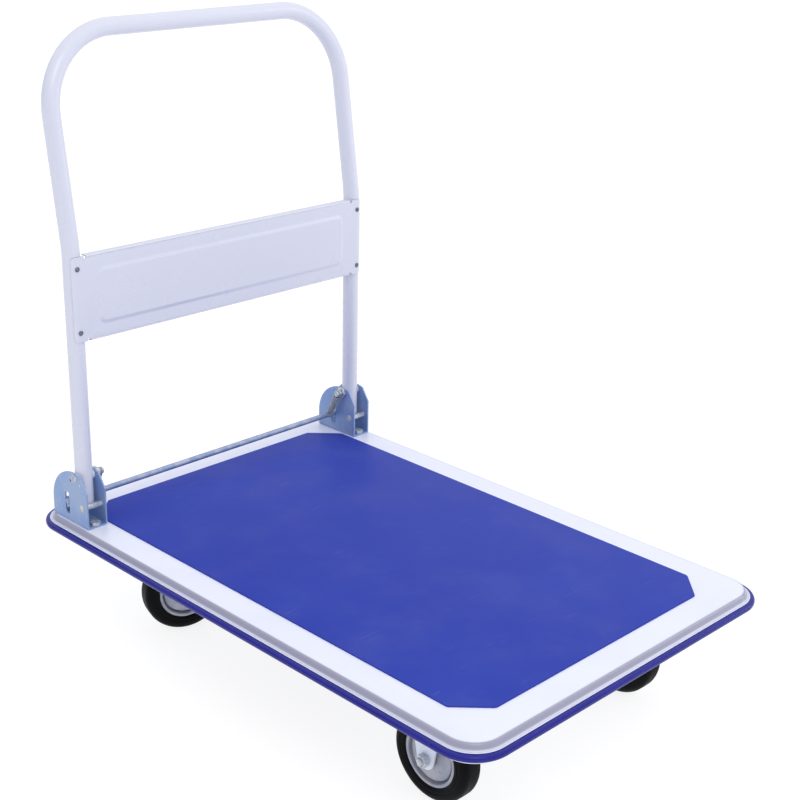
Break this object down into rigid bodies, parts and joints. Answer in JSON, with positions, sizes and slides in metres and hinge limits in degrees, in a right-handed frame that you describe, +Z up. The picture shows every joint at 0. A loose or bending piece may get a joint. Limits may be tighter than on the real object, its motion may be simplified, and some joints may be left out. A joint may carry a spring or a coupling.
{
  "type": "folding platform cart",
  "caption": "Flat deck cart with a vinyl mat, soft edge bumper, fold-down tube handle with foot release, two swivel casters and two rigid casters.",
  "frame": {"origin": "floor under the middle of the deck", "axes": "+Z up, +Y along the deck to the handle, +X across the deck"},
  "size_m": [0.6, 0.9, 0.893],
  "materials": {
    "deck_paint": "satin white powder coat",
    "handle_paint": "satin white powder coat",
    "mat_vinyl": "fine grained blue vinyl",
    "bumper_pvc": "smooth blue soft plastic",
    "bracket_zinc": "bright zinc plated steel",
    "fork_zinc": "zinc plated pressed steel",
    "rim_zinc": "zinc plated pressed steel",
    "bolt_zinc": "zinc plated steel",
    "spring_steel": "plated spring wire",
    "race_steel": "hardened steel",
    "bearing_steel": "ground steel",
    "bush_nylon": "natural nylon",
    "tyre_rubber": "black solid rubber"
  },
  "bodies": {
    "deck": {"deck_pan": "deck_paint", "cross_rail_rear": "deck_paint", "cross_rail_front": "deck_paint", "stiffeners": "deck_paint", "deck_mat": "mat_vinyl", "edge_bumper": "bumper_pvc", "bracket_left": "bracket_zinc", "bracket_right": "bracket_zinc", "bracket_bolts": "bolt_zinc", "bracket_nuts": "bolt_zinc", "pivot_bolt_left": "bolt_zinc", "pivot_bolt_right": "bolt_zinc", "pivot_nuts": "bolt_zinc", "stop_pins": "bolt_zinc", "caster_bolts": "bolt_zinc", "caster_nuts": "bolt_zinc", "king_nuts": "bolt_zinc", "spring_left": "spring_steel", "spring_right": "spring_steel", "lower_races": "race_steel", "top_plate_rear_left": "fork_zinc", "king_bolt_rear_left": "bolt_zinc", "top_plate_rear_right": "fork_zinc", "king_bolt_rear_right": "bolt_zinc", "fork_front_left": "fork_zinc", "axle_bolt_front_left": "bolt_zinc", "axle_nut_front_left": "bolt_zinc", "axle_sleeve_front_left": "bearing_steel", "fork_front_right": "fork_zinc", "axle_bolt_front_right": "bolt_zinc", "axle_nut_front_right": "bolt_zinc", "axle_sleeve_front_right": "bearing_steel"},
    "handle": {"handle_tube": "handle_paint", "handle_panel": "handle_paint", "panel_screws": "bolt_zinc", "pivot_bushes": "bush_nylon"},
    "lock_rod": {"lock_rod": "bolt_zinc", "rod_clips": "bolt_zinc"},
    "wheel_rear_left": {"rims_rear_left": "rim_zinc", "bearings_rear_left": "bearing_steel", "tyre_rear_left": "tyre_rubber"},
    "swivel_rear_left": {"fork_rear_left": "fork_zinc", "race_balls_rear_left": "race_steel", "axle_bolt_rear_left": "bolt_zinc", "axle_nut_rear_left": "bolt_zinc", "axle_sleeve_rear_left": "bearing_steel"},
    "wheel_rear_right": {"rims_rear_right": "rim_zinc", "bearings_rear_right": "bearing_steel", "tyre_rear_right": "tyre_rubber"},
    "swivel_rear_right": {"fork_rear_right": "fork_zinc", "race_balls_rear_right": "race_steel", "axle_bolt_rear_right": "bolt_zinc", "axle_nut_rear_right": "bolt_zinc", "axle_sleeve_rear_right": "bearing_steel"},
    "wheel_front_left": {"rims_front_left": "rim_zinc", "bearings_front_left": "bearing_steel", "tyre_front_left": "tyre_rubber"},
    "wheel_front_right": {"rims_front_right": "rim_zinc", "bearings_front_right": "bearing_steel", "tyre_front_right": "tyre_rubber"}
  },
  "joints": [
    {"name": "handle_fold", "type": "hinge", "parent": "deck", "child": "handle", "pos_m": [0, 0.356, 0.254], "axis": [1, 0, 0], "range_deg": [0, 90]},
    {"name": "lock_press", "type": "slide", "parent": "deck", "child": "lock_rod", "axis": [0, 0, -1], "range_m": [0, 0.015], "stiffness_N_per_m": 9000, "springref_m": -0.004, "deforming": ["spring_left", "spring_right"]},
    {"name": "swivel_rear_left", "type": "hinge", "parent": "deck", "child": "swivel_rear_left", "pos_m": [-0.187, 0.288, 0.15], "axis": [0, 0, 1], "continuous": true},
    {"name": "roll_rear_left", "type": "hinge", "parent": "swivel_rear_left", "child": "wheel_rear_left", "pos_m": [-0.15257, 0.27748, 0.0625], "axis": [-0.2924, -0.9563, 0], "continuous": true},
    {"name": "swivel_rear_right", "type": "hinge", "parent": "deck", "child": "swivel_rear_right", "pos_m": [0.187, 0.288, 0.15], "axis": [0, 0, 1], "continuous": true},
    {"name": "roll_rear_right", "type": "hinge", "parent": "swivel_rear_right", "child": "wheel_rear_right", "pos_m": [0.22143, 0.27748, 0.0625], "axis": [-0.2924, -0.9563, 0], "continuous": true},
    {"name": "roll_front_left", "type": "hinge", "parent": "deck", "child": "wheel_front_left", "pos_m": [-0.187, -0.288, 0.0625], "axis": [1, 0, 0], "continuous": true},
    {"name": "roll_front_right", "type": "hinge", "parent": "deck", "child": "wheel_front_right", "pos_m": [0.187, -0.288, 0.0625], "axis": [1, 0, 0], "continuous": true}
  ]
}
